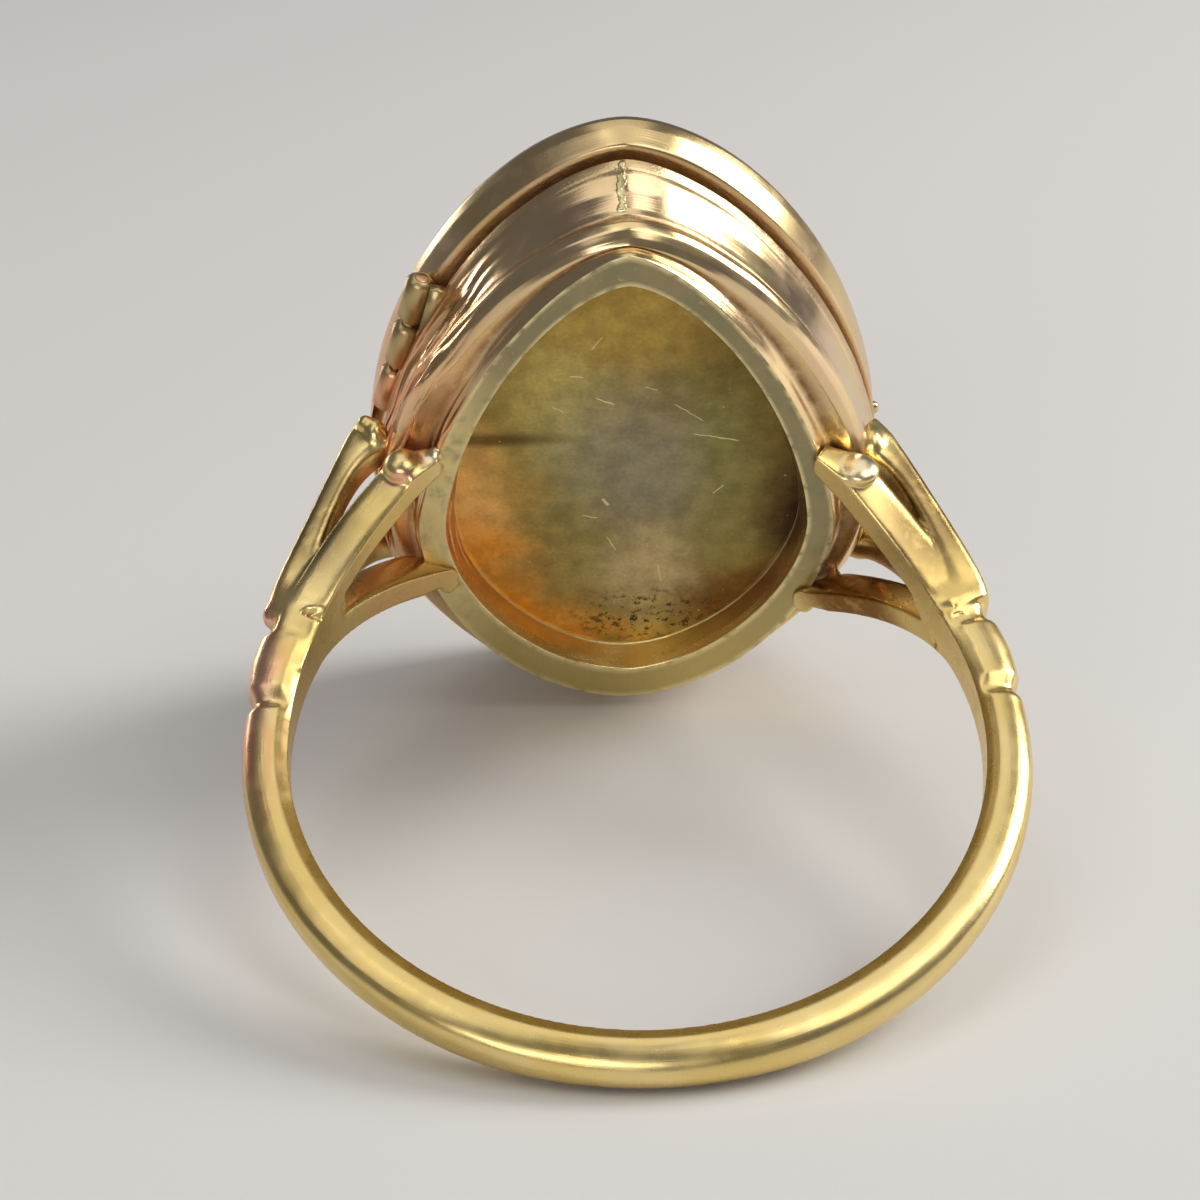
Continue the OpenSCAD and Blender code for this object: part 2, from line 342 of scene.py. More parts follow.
YELLOW = (0.80, 0.59, 0.21)
PALE = (0.86, 0.67, 0.30)
WARM = (0.85, 0.65, 0.34)
PINK = (0.80, 0.57, 0.36)
DULL = (0.72, 0.54, 0.27)
OLIVE = (0.52, 0.39, 0.19)
ROSE = (0.88, 0.40, 0.22)
# Brown of the grooves' painted shade and dirt, and of the painted shade between the flank's waves
BROWN_SHADE_AND_DIRT = (0.20, 0.075, 0.015)
# Orange painted reflection, which the lid's painted shade and dirt take on
LID_ORANGE_REFLECTION = (0.62, 0.24, 0.045)
SEAM_GREEN = (0.62, 0.58, 0.30)
AMBER = (0.82, 0.51, 0.24)
BLUSH = (1.0, 0.50, 0.30)
# Pale crests, partly rubbed wear and partly painted highlight, and the recess wall's painted light
RUBBED_CREST_HIGHLIGHT = (0.95, 0.72, 0.42)
RECESS_WALL_LIGHT = (0.98, 0.72, 0.28)
# The rim face's greenish grey and green are a painted reflection in place of gold; its yellow is painted
# light on its foot
RIM_REFLECTION_GREY = (0.31, 0.28, 0.155)
RIM_REFLECTION_GREEN = (0.38, 0.32, 0.175)
RIM_FOOT_LIGHT = (0.58, 0.45, 0.17)
RIM_WORN = (0.92, 0.76, 0.36)
RIM_EDGE = (0.86, 0.74, 0.40)
PLATE_GOLD = (0.36, 0.265, 0.07)
SPECK_BROWN = (0.045, 0.035, 0.018)
SMEAR_BROWN = (0.085, 0.042, 0.006)
SCRATCH_GOLD = (0.80, 0.68, 0.42)

# How far a groove's painted shade reaches beside it, and the depths of fine relief, in millimetres
GROOVE_REACH = 0.3
SCRATCH_DEPTH, GRIT_DEPTH = 0.003, 0.03
SEAM_DEPTH, WAVE_DEPTH = 0.06, 0.24
FILED_DEPTH, RIM_DENT = 0.012, 0.05
GRAIN_DEPTH, PLATE_DENT = 0.012, 0.10
# How much rougher the metal is in smudges and under its painted shade and dirt
SMUDGED, SHADE_AND_DIRT_ROUGH = 0.07, 0.35


def gold(name, tones, rose_place, rose_size, smooth=0.22, dent=0.035, shade_and_dirt_colour=BROWN_SHADE_AND_DIRT, extras=None):
    """Worn gold: rose tints, brown painted shade and dirt in its grooves, soft dents and fine scratches."""
    s = Shader(name)
    ring, lay = s.attribute("ring"), s.attribute("lay")
    broad = s.ramp(s.noise(ring, 0.35, 3), 0.35, 0.7)
    streaks = s.noise(s.scaled(lay, (0.35, 2.2, 2.2)), 1.3, 4, warp=0.4)
    tone = s.painted(s.mix(broad, *tones), ROSE, s.spot(rose_place, rose_size), s.ramp(streaks, 0.38, 0.60))
    # Ambient occlusion darkens grooves and creases with painted shade, added to the listed dirt, and
    # blotches break it up
    near = s.node("ShaderNodeAmbientOcclusion", {"Distance": GROOVE_REACH * MM}, samples=6).outputs["AO"]
    groove = s.math("MAXIMUM", s.ramp(near, 0.66, 0.24), s.attribute("shade_and_dirt", "Fac"))
    blotches = s.ramp(s.noise(ring, 1.6, 5, 0.65), 0.30, 0.60, 0.45, 1.0)
    patchy_shade_and_dirt = s.times(groove, blotches, clamp=True)
    tone = s.painted(tone, shade_and_dirt_colour, patchy_shade_and_dirt, 0.85)
    smudge = s.ramp(s.noise(ring, 1.5, 3, 0.5), 0.40, 0.75, smooth, smooth + SMUDGED)
    rough = s.math("ADD", smudge, s.times(patchy_shade_and_dirt, SHADE_AND_DIRT_ROUGH), clamp=True)
    dents = s.bump(s.noise(ring, 0.7, 2, 0.4), dent)
    scratched = s.bump(s.noise(s.scaled(lay, (0.6, 16, 16)), 1.0, 2, 0.5), SCRATCH_DEPTH, dents)
    normal = s.bump(s.times(s.noise(ring, 14, 3), patchy_shade_and_dirt), GRIT_DEPTH, scratched)
    if extras is not None:
        tone, normal = extras(s, tone, normal)
    return s.finish(Base_Color=tone, Metallic=1.0, Roughness=rough, Normal=normal)


# The solder seam down the case's pointed end: its place, heights and ends, half its width at its
# edge and at its core, and from where along the ring it shows
SEAM_X = -0.12
SEAM_LOW, SEAM_HIGH = 8.60, 9.98
SEAM_LOW_END, SEAM_HIGH_END = 0.12, 0.1
SEAM_EDGE, SEAM_CORE = 0.10, 0.05
SEAM_FROM, SEAM_FULL = 7.5, 8.0
# Patches on the case: place and radii
AMBER_FLANK = (-5.8, 8.8, 2.6), (3.2, 2.4, 6.0)
WAVY_FLANK = (-6.2, 8.6, 2.4), (2.4, 1.8, 4.4)
ROSY_FLANK = (-6.4, 8.5, 2.0), (2.2, 1.8, 3.6)
RECESS_WALL = (0.0, 7.6, -5.2), (5.0, 0.55, 1.9)


def seam_mark(s):
    """1 on the wavering solder seam."""
    ring = s.attribute("ring")
    parts = s.node("ShaderNodeSeparateXYZ", {"Vector": ring}).outputs
    wobble = s.times(s.math("SUBTRACT", s.noise(ring, 3.2, 4, 0.7), 0.5), 0.5)
    across = s.math("ABSOLUTE", s.math("ADD", s.math("SUBTRACT", parts[ACROSS], SEAM_X), wobble))
    low_end = s.ramp(parts[UP], SEAM_LOW, SEAM_LOW + SEAM_LOW_END)
    high_end = s.ramp(parts[UP], SEAM_HIGH, SEAM_HIGH - SEAM_HIGH_END)
    line = s.times(s.ramp(across, SEAM_EDGE, SEAM_CORE), s.times(low_end, high_end))
    return s.times(line, s.ramp(parts[ALONG], SEAM_FROM, SEAM_FULL))


def case_marks(s, tone, normal):
    """The seam, the amber left flank with its waves and rosy wear, painted shade in the waves' troughs,
    rubbed wear and painted highlight on their crests, and the recess's wall lightened by painted light.
    """
    lay = s.attribute("lay")
    seam = seam_mark(s)
    tone = s.painted(tone, SEAM_GREEN, seam, 0.8)
    normal = s.bump(seam, SEAM_DEPTH, normal)
    tone = s.painted(tone, AMBER, s.spot(*AMBER_FLANK, 0.5), 0.75)
    flank = s.spot(*WAVY_FLANK)
    waves = s.noise(s.scaled(lay, (0.16, 2.6, 0)), 1.6, 1.5, 0.4, 0.4)
    normal = s.bump(s.times(s.ramp(waves, 0.30, 0.70), flank), WAVE_DEPTH, normal)
    # Painted shade in the troughs between the waves
    tone = s.painted(tone, BROWN_SHADE_AND_DIRT, s.times(s.ramp(waves, 0.47, 0.40), flank), 0.9)
    streaks = s.ramp(s.noise(s.scaled(lay, (0.2, 1.5, 0)), 1.3, 2), 0.38, 0.52)
    tone = s.painted(tone, BLUSH, s.times(streaks, s.spot(*ROSY_FLANK)), 0.9)
    # Lighter crests: rubbed wear and a painted highlight
    tone = s.painted(tone, RUBBED_CREST_HIGHLIGHT, s.times(s.ramp(waves, 0.55, 0.64), flank), 0.6)
    # The recess's wall lightened towards the round end by painted light
    return s.painted(tone, RECESS_WALL_LIGHT, s.spot(*RECESS_WALL)), normal


# Tints on the shank, among them painted highlights on the front knobs and painted shade on the outer and
# back bars: name, place, size, colour and strength
SHANK_TINTS = [
    ("front_bar_knob_right_highlight", (5.94, 6.82, 2.5), (0.50, 0.50, 0.5), (0.97, 0.84, 0.58), 0.8),
    ("front_bar_knob_left_highlight", (-5.06, 7.30, 2.6), (0.44, 0.36, 0.6), (0.97, 0.86, 0.62), 0.9),
    ("collar_line", (-5.80, 6.55, 2.95), (0.45, 0.12, 0.9), (0.92, 0.48, 0.30), 0.8),
    ("solder_left", (-9.15, 3.92, 0.46), (0.30, 0.40, 0.4), (0.93, 0.52, 0.38), 0.9),
    ("edge_left", (-9.3, 1.8, 0.2), (0.5, 1.9, 1.4), (0.92, 0.58, 0.42), 0.6),
    ("back_bar_left", (-6.6, 6.3, -1.2), (2.2, 1.7, 1.0), (0.80, 0.50, 0.22), 0.75),
    ("back_bar_right_shade", (6.6, 6.2, -1.9), (2.2, 1.7, 1.3), (0.24, 0.10, 0.02), 0.95),
    ("outer_bar_left_shade", (-7.8, 6.6, 1.3), (1.1, 2.0, 1.1), (0.30, 0.22, 0.10), 0.85),
    ("outer_bar_right_shade", (7.6, 6.6, 1.2), (1.2, 2.2, 1.3), (0.30, 0.20, 0.08), 0.9),
    ("outer_back_left_shade", (-8.0, 6.4, -1.4), (1.2, 2.2, 1.0), (0.45, 0.28, 0.10), 0.6),
    ("outer_back_right_shade", (8.0, 6.4, -1.4), (1.2, 2.2, 1.0), (0.45, 0.28, 0.10), 0.6)]


# Lays the shank's tints, painted highlights and painted shade among them
def shank_marks(s, tone, normal):
    patchy = s.ramp(s.noise(s.attribute("ring"), 2.5, 3), 0.25, 0.5, 0.6, 1.0)
    for _name, place, size, colour, strength in SHANK_TINTS:
        tone = s.painted(tone, colour, s.times(s.spot(place, size, 0.4), patchy), strength)
    return tone, normal


# The rim's foot, lightened with painted light, and its worn left side: place and radii
RIM_FOOT = (0, RIM_H, -6.2), (7.0, 2, 4.5)
RIM_LEFT = (-5.15, RIM_H, 0.9), (1.8, 3, 5.5)


def rim_gold():
    """The back rim's flat face: a greenish grey painted reflection with painted light on its foot, filed by
    hand, with bright worn edges.
    """
    s = Shader("rim_face_gold")
    ring = s.attribute("ring")
    # A greenish grey painted reflection instead of the gold's own colour
    tone = s.mix(s.ramp(s.noise(ring, 0.8, 4, 0.6), 0.35, 0.7), RIM_REFLECTION_GREY, RIM_REFLECTION_GREEN)
    # Painted light on the rim's foot
    tone = s.painted(tone, RIM_FOOT_LIGHT, s.spot(*RIM_FOOT, 0.8))
    worn_left = s.times(s.spot(*RIM_LEFT), s.ramp(s.noise(ring, 1.3, 4), 0.22, 0.52))
    tone = s.painted(tone, RIM_WORN, worn_left, 0.9)
    tone = s.painted(tone, PALE, s.ramp(s.noise(ring, 4.0, 5, 0.7), 0.60, 0.74), 0.5)
    worn_edge = s.ramp(s.noise(ring, 2.2, 4), 0.30, 0.55)
    tone = s.painted(tone, RIM_EDGE, s.attribute("wear", "Fac"), worn_edge)
    filed = s.noise(s.scaled(ring, (9, 1, 1.2)), 1.0, 3, 0.6)
    rough = s.ramp(s.noise(ring, 3, 4), 0.3, 0.7, 0.30, 0.46)
    normal = s.bump(filed, FILED_DEPTH, s.bump(s.noise(ring, 1.3, 2), RIM_DENT))
    return s.finish(Base_Color=tone, Metallic=0.85, Roughness=rough, Normal=normal)


# The back plate's stains: name, place across and along the ring, size, colour and strength
PLATE_STAINS = [
    ("amber_top", (-0.6, 6.8), (3.4, 2.6), (0.47, 0.315, 0.07), 0.9),
    ("shade_right", (3.4, 3.6), (2.0, 4.2), (0.18, 0.115, 0.024), 0.95),
    ("brown_right", (5.3, -0.7), (1.6, 3.3), (0.026, 0.006, 0.0006), 1.0),
    ("orange_left", (-4.6, -0.3), (1.6, 2.9), (1.0, 0.54, 0.15), 1.0),
    ("rust_left", (-4.4, -2.2), (1.6, 1.7), (0.95, 0.36, 0.03), 1.0),
    ("rust_low", (-3.2, -4.0), (2.1, 1.3), (0.95, 0.33, 0.012), 1.0),
    ("amber_low", (-1.9, -5.0), (1.7, 0.8), (0.92, 0.42, 0.07), 0.95),
    ("olive_low", (-1.0, -2.7), (2.2, 1.6), (0.40, 0.31, 0.10), 0.8),
    ("brown_low", (2.9, -3.5), (1.7, 1.2), (0.19, 0.075, 0.012), 0.85),
    ("green_halo", (-1.7, 3.7), (1.2, 2.4), (0.52, 0.41, 0.125), 0.9),
    ("teal", (-1.2, 1.8), (1.1, 2.4), (0.37, 0.35, 0.19), 0.7),
    ("green_right", (2.3, 1.4), (1.2, 3.2), (0.29, 0.265, 0.09), 0.8),
    ("grey_middle", (0.5, 1.3), (1.4, 3.1), (0.33, 0.29, 0.19), 0.95),
    ("grey_foot", (0.6, -2.5), (1.3, 1.7), (0.60, 0.46, 0.23), 0.8)]


# How far the stains' outlines waver, and how softly a stain ends, as shares of its size
STAIN_SWAY = (2.2, 0, 2.6)
STAIN_EDGE, STAIN_CORE = 1.6, 0.25
# The plate's black specks and its dark smear: place and radii
SPECK_ZONE = (0.7, PLATE, -4.4), (1.9, 2, 1.0)
SMEAR = (-3.7, PLATE, 2.55), (1.9, 2, 0.22)


def stained_tone(s, ring):
    """The plate's own tone under all its stains."""
    sway = s.node("ShaderNodeTexNoise", {"Vector": ring, "Scale": 0.55, "Detail": 5.0, "Roughness": 0.6})
    shift = s.vector("SUBTRACT", sway.outputs["Color"], (0.5, 0.5, 0.5))
    moved = s.vector("ADD", ring, s.scaled(shift, STAIN_SWAY))
    tone = PLATE_GOLD
    for _name, (across, along), (wide, long), colour, strength in PLATE_STAINS:
        away = s.vector("SUBTRACT", moved, (across, PLATE, along))
        reach = s.length(s.scaled(away, (1 / wide, 0, 1 / long)))
        tone = s.painted(tone, colour, s.ramp(reach, STAIN_EDGE, STAIN_CORE), strength)
    return tone


def stained_plate():
    """The recessed plate: dull gold under a grey bloom, green haloes, orange and brown stains."""
    s = Shader("stained_plate")
    ring = s.attribute("ring")
    mottled = s.ramp(s.noise(ring, 1.6, 4, 0.55), 0.3, 0.7, 0.86, 1.16)
    grain = s.ramp(s.noise(ring, 9, 4, 0.7), 0.3, 0.7, 0.90, 1.10)
    shades = {0: stained_tone(s, ring), "Scale": s.times(mottled, grain)}
    tone = s.node("ShaderNodeVectorMath", shades, operation="SCALE").outputs[0]
    specks = s.ramp(s.noise(ring, 4.6, 5, 0.75), 0.53, 0.60)
    tone = s.painted(tone, SPECK_BROWN, specks, s.spot(*SPECK_ZONE))
    tone = s.painted(tone, SMEAR_BROWN, s.spot(*SMEAR, 0.7), 0.75)
    # Small pale glints: painted highlights
    tone = s.painted(tone, PALE, s.ramp(s.noise(ring, 7.5, 2, 0.5), 0.735, 0.77), 0.7)
    tone = s.painted(tone, SCRATCH_GOLD, scratch_marks(s, ring))
    rough = s.ramp(s.noise(ring, 2.0, 4), 0.3, 0.7, 0.34, 0.52)
    dents = s.bump(s.noise(ring, 0.7, 2), PLATE_DENT)
    normal = s.bump(s.noise(ring, 8, 4, 0.7), GRAIN_DEPTH, dents)
    return s.finish(Base_Color=tone, Metallic=0.8, Roughness=rough, Normal=normal)


# Bright scratches on the plate: one end, across and along, then the other end and the width
SCRATCHES = [
    (-1.45, 4.72, -1.10, 4.66, 0.028), (-0.80, 3.95, -0.30, 3.72, 0.030),
    (1.20, 3.70, 2.00, 3.05, 0.022), (1.70, 2.62, 2.95, 2.34, 0.024),
    (0.45, 4.3, 0.80, 4.22, 0.018), (-0.9, 5.6, -0.6, 6.0, 0.020),
    (-0.62, 0.30, -0.45, 0.02, 0.060), (-1.15, -0.35, -0.75, -0.42, 0.022),
    (-0.5, -1.15, -0.25, -1.7, 0.020), (2.3, 0.4, 2.6, 0.75, 0.020),
    (0.9, -2.3, 0.98, -3.0, 0.022), (-1.9, 3.7, -1.6, 3.5, 0.020)]


def scratch_marks(s, ring):
    """1 on the plate's few bright scratches."""
    wobble = s.times(s.math("SUBTRACT", s.noise(ring, 3.0, 2), 0.5), 0.12)
    total = 0.0
    for x0, f0, x1, f1, width in SCRATCHES:
        run = np.array([x1 - x0, 0, f1 - f0])
        length = float(np.linalg.norm(run))
        unit = run / length
        away = s.vector("SUBTRACT", ring, (x0, 0, f0))
        along = s.vector("DOT_PRODUCT", away, tuple(unit / length), "Value")
        across = s.vector("DOT_PRODUCT", away, (unit[ALONG], 0.0, -unit[ACROSS]), "Value")
        across = s.math("ABSOLUTE", s.math("ADD", across, wobble))
        middle = s.math("ABSOLUTE", s.math("SUBTRACT", along, 0.5))
        mark = s.times(s.ramp(middle, 0.52, 0.40), s.ramp(across, width, width * 0.3))
        total = s.math("MAXIMUM", total, mark)
    return total


SHANK_GOLD = gold("shank_gold", (YELLOW, PALE), (-9.6, 1.5, 0), (0.9, 6.0, 2.0), smooth=0.27,
                  extras=shank_marks)
CASE_GOLD = gold("case_gold", (WARM, PINK), (-6.3, 8.6, 1.6), (2.6, 2.2, 4.5), smooth=0.19, dent=0.02,
                 extras=case_marks)
LID_GOLD = gold("lid_gold", (DULL, PINK), (-6.8, 10.6, 1.5), (2.0, 2.0, 4.5), smooth=0.24, dent=0.012,
                shade_and_dirt_colour=LID_ORANGE_REFLECTION)
HINGE_GOLD = gold("hinge_gold", (OLIVE, DULL), (-6.4, 10, 2), (1, 2, 2), smooth=0.34)
PIN_GOLD = gold("pin_gold", (OLIVE, DULL), (-6, 10, 3), (3, 3, 3), smooth=0.3)
INSIDE_GOLD = gold("inside_gold", (YELLOW, WARM), (0, 10, 0), (2, 2, 2), smooth=0.3)
RIM_GOLD = rim_gold()
PLATE_METAL = stained_plate()


def to_ring(place):
    """A place in the scene as a ring point."""
    across, level, rise = (np.array(place) - HOLE_CENTRE) / MM
    c, s = math.cos(TILT), math.sin(TILT)
    return np.array([across, level * c + rise * s, rise * c - level * s])


# The hinge's place in ring space, and the cosine and sine of its slant along the flank
hinge = next(j for j in frame["joints"] if j["name"] == "lid_hinge")
HINGE_RING = to_ring(hinge["pos_m"])
hinge_slant = math.asin(hinge["axis"][0])
HINGE_TURN = math.cos(hinge_slant), math.sin(hinge_slant)
# The groove beside the hinge: its radius, and where it starts and ends along the pin
GUTTER_R = 0.33
GUTTER_FROM, GUTTER_TO = -6, 3.5


def guttered(points, way):
    """Points pushed down (-1) or up (1) out of the groove in which the lid's edge turns."""
    away = points - HINGE_RING
    c, s = HINGE_TURN
    side = away[:, ACROSS] * c - away[:, ALONG] * s
    run = away[:, ACROSS] * s + away[:, ALONG] * c
    within = (np.hypot(side, away[:, UP]) < GUTTER_R) & (run > GUTTER_FROM) & (run < GUTTER_TO)
    edge = way * np.sqrt(np.maximum(GUTTER_R ** 2 - side ** 2, 0))
    moved = points.copy()
    moved[:, UP] += np.where(within, edge - away[:, UP], 0)
    return moved


# Case


# Steps between rows, corner radii, and how far the recess's and the compartment's walls slope
WALL_STEP, FLAT_STEP = 0.10, 0.3
CORNER_R, PLATE_CORNER_R = 0.055, 0.05
RECESS_SLOPE, FLOOR_SLOPE = 0.12, 0.55
# Painted shade and dirt in the inner corners, and the plate's cleaner part: its share of the size and its
# shade and dirt
CORNER_SHADE_AND_DIRT = 0.6
CLEAN_SHARE, CLEAN_SHADE_AND_DIRT = 0.97, 0.2
# Above the rim's height: how far its flat counts, and from where the walls are uneven
RIM_ROOM, WAVES_FROM = 0.02, 0.2
# Unevenness: stretch, size, seed and depth
CASE_WAVES = [((1, 2.2, 1), 1.7, 3.1, 0.022), ((1, 1, 1), 0.6, 9.3, 0.006)]
PLATE_WAVES = [((1, 1, 1), 2.5, 5.5, 0.05)]
# How far the walls stay inside their rows
WALL_INSET = 0.02
# The left flank's tiers: where they begin and over how much they fade in, to the left, along and up
TIERS_LEFT, TIERS_ALONG, TIERS_UP = (3.0, 2.0), (-1.5, 1.5), (RIM_H + 0.3, 0.3)
TIER_BEND = ((0.7, 1.0, 0.7), 1.1, 4.2, 0.9)
# The tiers' pitch and depth, and the painted shade and dirt in their troughs
TIER_PITCH, TIER_DEPTH, TIER_SHADE_AND_DIRT = 0.62, 0.065, 0.8
# How the flank leans inward at its top edge: from where, over how much, and how many tier depths
LEAN_UP, LEAN = (9.35, 0.3), 2.3
# The bright wear on the rim's edges: how far it reaches, and how much of that is at full strength
WEAR_REACH, WEAR_PEAK = 0.10, 1.4
PLATE_KIND, RIM_KIND, INSIDE_KIND, WALL_KIND = 1, 2, 3, 0


def case_profile():
    """Rows of the case from the plate's middle to the inner floor, and what each stretch is."""
    plate_edge = inward(RIM_INNER, RECESS_SLOPE, PLATE, CORNER_SHADE_AND_DIRT)
    plate_middle = shrunk(plate_edge, TO_MIDDLE, PLATE)
    clean_edge = shrunk(plate_edge, CLEAN_SHARE, PLATE, CLEAN_SHADE_AND_DIRT)
    plate = softened([plate_middle, clean_edge, plate_edge], PLATE_CORNER_R, FLAT_STEP)
    top = CASE_OUTSIDE[-1]
    top_inner = inward(top, CASE_WALL, CASE_TOP)
    wall = softened([plate_edge] + CASE_OUTSIDE + [top_inner], CORNER_R, WALL_STEP)[1:]
    floor_edge = inward(top, CASE_WALL + FLOOR_SLOPE, FLOOR_H, CORNER_SHADE_AND_DIRT)
    floor_middle = shrunk(floor_edge, TO_MIDDLE, FLOOR_H)
    floor = softened([top_inner, floor_edge, floor_middle], CORNER_R, FLAT_STEP)[1:]
    wall_kinds = [RIM_KIND if max(pair) < RIM_H + RIM_ROOM else WALL_KIND
                  for pair in zip(wall[:, HEIGHT], wall[1:, HEIGHT])]
    kinds = [PLATE_KIND] * (len(plate) - 1) + [WALL_KIND] + wall_kinds + [INSIDE_KIND] * len(floor)
    return np.concatenate([plate, wall, floor]), kinds


def faded_in(values, start, fade):
    """0 up to a start, then rising to 1 over a fade."""
    return np.clip((values - start) / fade, 0, 1)


def ridges(points):
    """The left flank's wavy tiers: 0 on their crests, -2 between them, and less at the top edge."""
    flank = faded_in(-points[:, ACROSS], *TIERS_LEFT) * faded_in(points[:, ALONG], *TIERS_ALONG)
    walls = faded_in(points[:, UP], *TIERS_UP)
    bend = beaten(points, [TIER_BEND])
    tiers = np.sin(2 * math.pi * (points[:, UP] / TIER_PITCH + bend)) - 1
    top = faded_in(points[:, UP], *LEAN_UP)
    return (tiers * (1 - top) - LEAN * top) * flank * walls


def rim_wear(rows):
    """1 on the rim's two edges, falling to 0 beside them."""
    widths = rows[:, HALF_W]
    inner_w, outer_w = RIM_INNER[HALF_W], CASE_OUTSIDE[1][HALF_W]
    edge_gap = np.minimum(np.abs(widths - inner_w), np.abs(widths - outer_w))
    return np.repeat(np.clip(WEAR_PEAK - edge_gap / WEAR_REACH, 0, 1), STATIONS)


def case_piece():
    rows, kinds = case_profile()
    points, faces, shade_and_dirt = shell(rows)
    indices = [PLATE_KIND] + [kind for kind in kinds for _ in range(STATIONS)] + [INSIDE_KIND]
    tiers = ridges(points)
    # The troughs between the tiers take painted shade and dirt
    shade_and_dirt = np.clip(shade_and_dirt + np.clip(-tiers - 1, 0, 1) * TIER_SHADE_AND_DIRT, 0, 1)
    outside = points[:, UP] > RIM_H + WAVES_FROM
    wave = beaten(points, CASE_WAVES) + TIER_DEPTH * tiers
    points = pushed_out(points, outside * (wave - WALL_INSET))
    on_plate = np.arange(len(points)) < kinds.count(PLATE_KIND) * STATIONS
    points[:, UP] += np.where(on_plate, beaten(points, PLATE_WAVES), 0)
    case = piece("case", guttered(points, -1), faces, "ring", ["band_and_case"],
                 [CASE_GOLD, PLATE_METAL, RIM_GOLD, INSIDE_GOLD], around, shade_and_dirt, indices)
    add_attribute(case.data, "wear", rim_wear(rows))


# Lid


DOME_POWER = 2.7
DOME_SHARES = np.linspace(0.975, TO_MIDDLE, 44)
HOLLOW_SHARES = np.linspace(TO_MIDDLE, 0.84, 30)
# The hollow's wall: how far inward its top and its foot lie, how far down its top, and their painted shade
# and dirt
HOLLOW_TOP_IN, HOLLOW_FOOT_IN, HOLLOW_DROP = 0.75, 0.56, 0.4
HOLLOW_TOP_SHADE_AND_DIRT, HOLLOW_FOOT_SHADE_AND_DIRT = 0.3, 0.9
LID_CORNER_R = 0.05
LID_WAVES = [((1, 1.5, 1), 2.0, 7.7, 0.02)]


def dome_rows(shares, base):
    """Rows of the lid's dome over a base height, for shares of the bezel's size."""
    return [shrunk(BEZEL_TOP, share, base + DOME_H * (1 - share ** DOME_POWER)) for share in shares]


def lid_piece():
    hollow = dome_rows(HOLLOW_SHARES, BEZEL_TOP[HEIGHT] - LID_WALL)
    dome = dome_rows(DOME_SHARES, BEZEL_TOP[HEIGHT])
    inner = [inward(BEZEL_TOP, HOLLOW_TOP_IN, BEZEL_TOP[HEIGHT] - HOLLOW_DROP, HOLLOW_TOP_SHADE_AND_DIRT),
             inward(LID_OUTSIDE[0], HOLLOW_FOOT_IN, LID_LOW, HOLLOW_FOOT_SHADE_AND_DIRT)]
    walls = softened([hollow[-1]] + inner + LID_OUTSIDE + [dome[0]], LID_CORNER_R)
    points, faces, shade_and_dirt = shell(np.concatenate([hollow[:-1], walls, dome[1:]]))
    points = pushed_out(points, beaten(points, LID_WAVES) - WALL_INSET)
    piece("lid_cover", guttered(points, 1), faces, "lid", ["lid"], [LID_GOLD], around, shade_and_dirt)


# Shank and shoulders, made of overlapping solids in millimetres that are fused afterwards

# The band: its angles, its belly's height and how much a carved step narrows it
BAND_FROM, BAND_TO, BAND_SECTIONS = 31, -211, 520
BACK_POINTS = 33
BELLY_AT = 0.34
STEP_PINCH = 0.75
# Its finger side: the edge's inset, then each point's place out from the finger and in from the edge
EDGE_INSET = 0.115
FINGER_SIDE = [(-0.25, 0.10), (0.0, 0.09), (0.11, 0.0)]
# The inner bars: thickness, sinking into the finger's side, angles, and width and fading at the root
INNER_BAR_T, BAR_DEPTH = 1.1, 0.12
BAR_START, BAR_TOP, BAR_RISE_FROM = 13.5, 55.5, 16
BAR_ROOT, BAR_FADE = 0.7, 8
BAR_FULLNESS = 3.6
# How much narrower and thinner their tops get, and from which share of the rise
TOP_TAPER, TAPER_FROM = 0.30, 0.86
TOP_CUT, CUT_FROM = 0.45, 0.88
# The left front bar's collar below the case
COLLAR_FROM, COLLAR_STEP = 49.0, 0.09
# Side, root and top along the finger, lateness of the bend, width: the part's bars, worn slimmer
INNER_BARS = [(1, 0.16, 2.57, 1.75, 0.92), (1, -0.10, -2.85, 1.40, 0.80),
              (-1, 0.46, 2.71, 1.40, 0.76), (-1, 0.05, -1.70, 1.50, 0.90)]
# The outer bars: angles, first share, thickness, width, squareness and lateness of both bends
OUTER_START, OUTER_TOP, OUTER_FIRST = 21.5, 54, 0.05
OUTER_T, OUTER_W, OUTER_FULLNESS = 0.66, 0.95, 3.4
OUT_BEND, ALONG_BEND = 2.4, 1.2
# Their carved root, thicker root and thicker top, how fast each fades, and how their ends round off
CARVED_STEP, ROOT_SWELL, TOP_SWELL = 0.4, 0.7, 1.6
CARVED_FADE, ROOT_FADE, TOP_FADE = 12, 2, 8
TOP_ROUNDING, ROUNDING_FROM = 0.12, 0.9
# Side, root and top along the finger, back radius at the root and at the top
OUTER_BARS = [(1, 0.30, 1.80, 10.10, 11.40), (1, -0.30, -1.80, 10.10, 11.40),
              (-1, 0.35, 1.85, 10.20, 11.90), (-1, -0.35, -1.85, 10.20, 11.90)]
# The band's back radius, by angle up each side of the ring
BACK = {1: [(3, 9.585), (6.6, 9.60), (9.5, 9.69), (14, 9.78), (19.6, 9.80), (20.9, 9.76), (24.6, 10.02),
            (27, 10.05), (32, 9.4)],
        -1: [(3, 9.585), (6.8, 9.60), (9.4, 9.69), (14, 9.82), (19.2, 9.86), (20.4, 9.80), (24.2, 10.14),
             (27, 10.14), (32, 9.4)]}
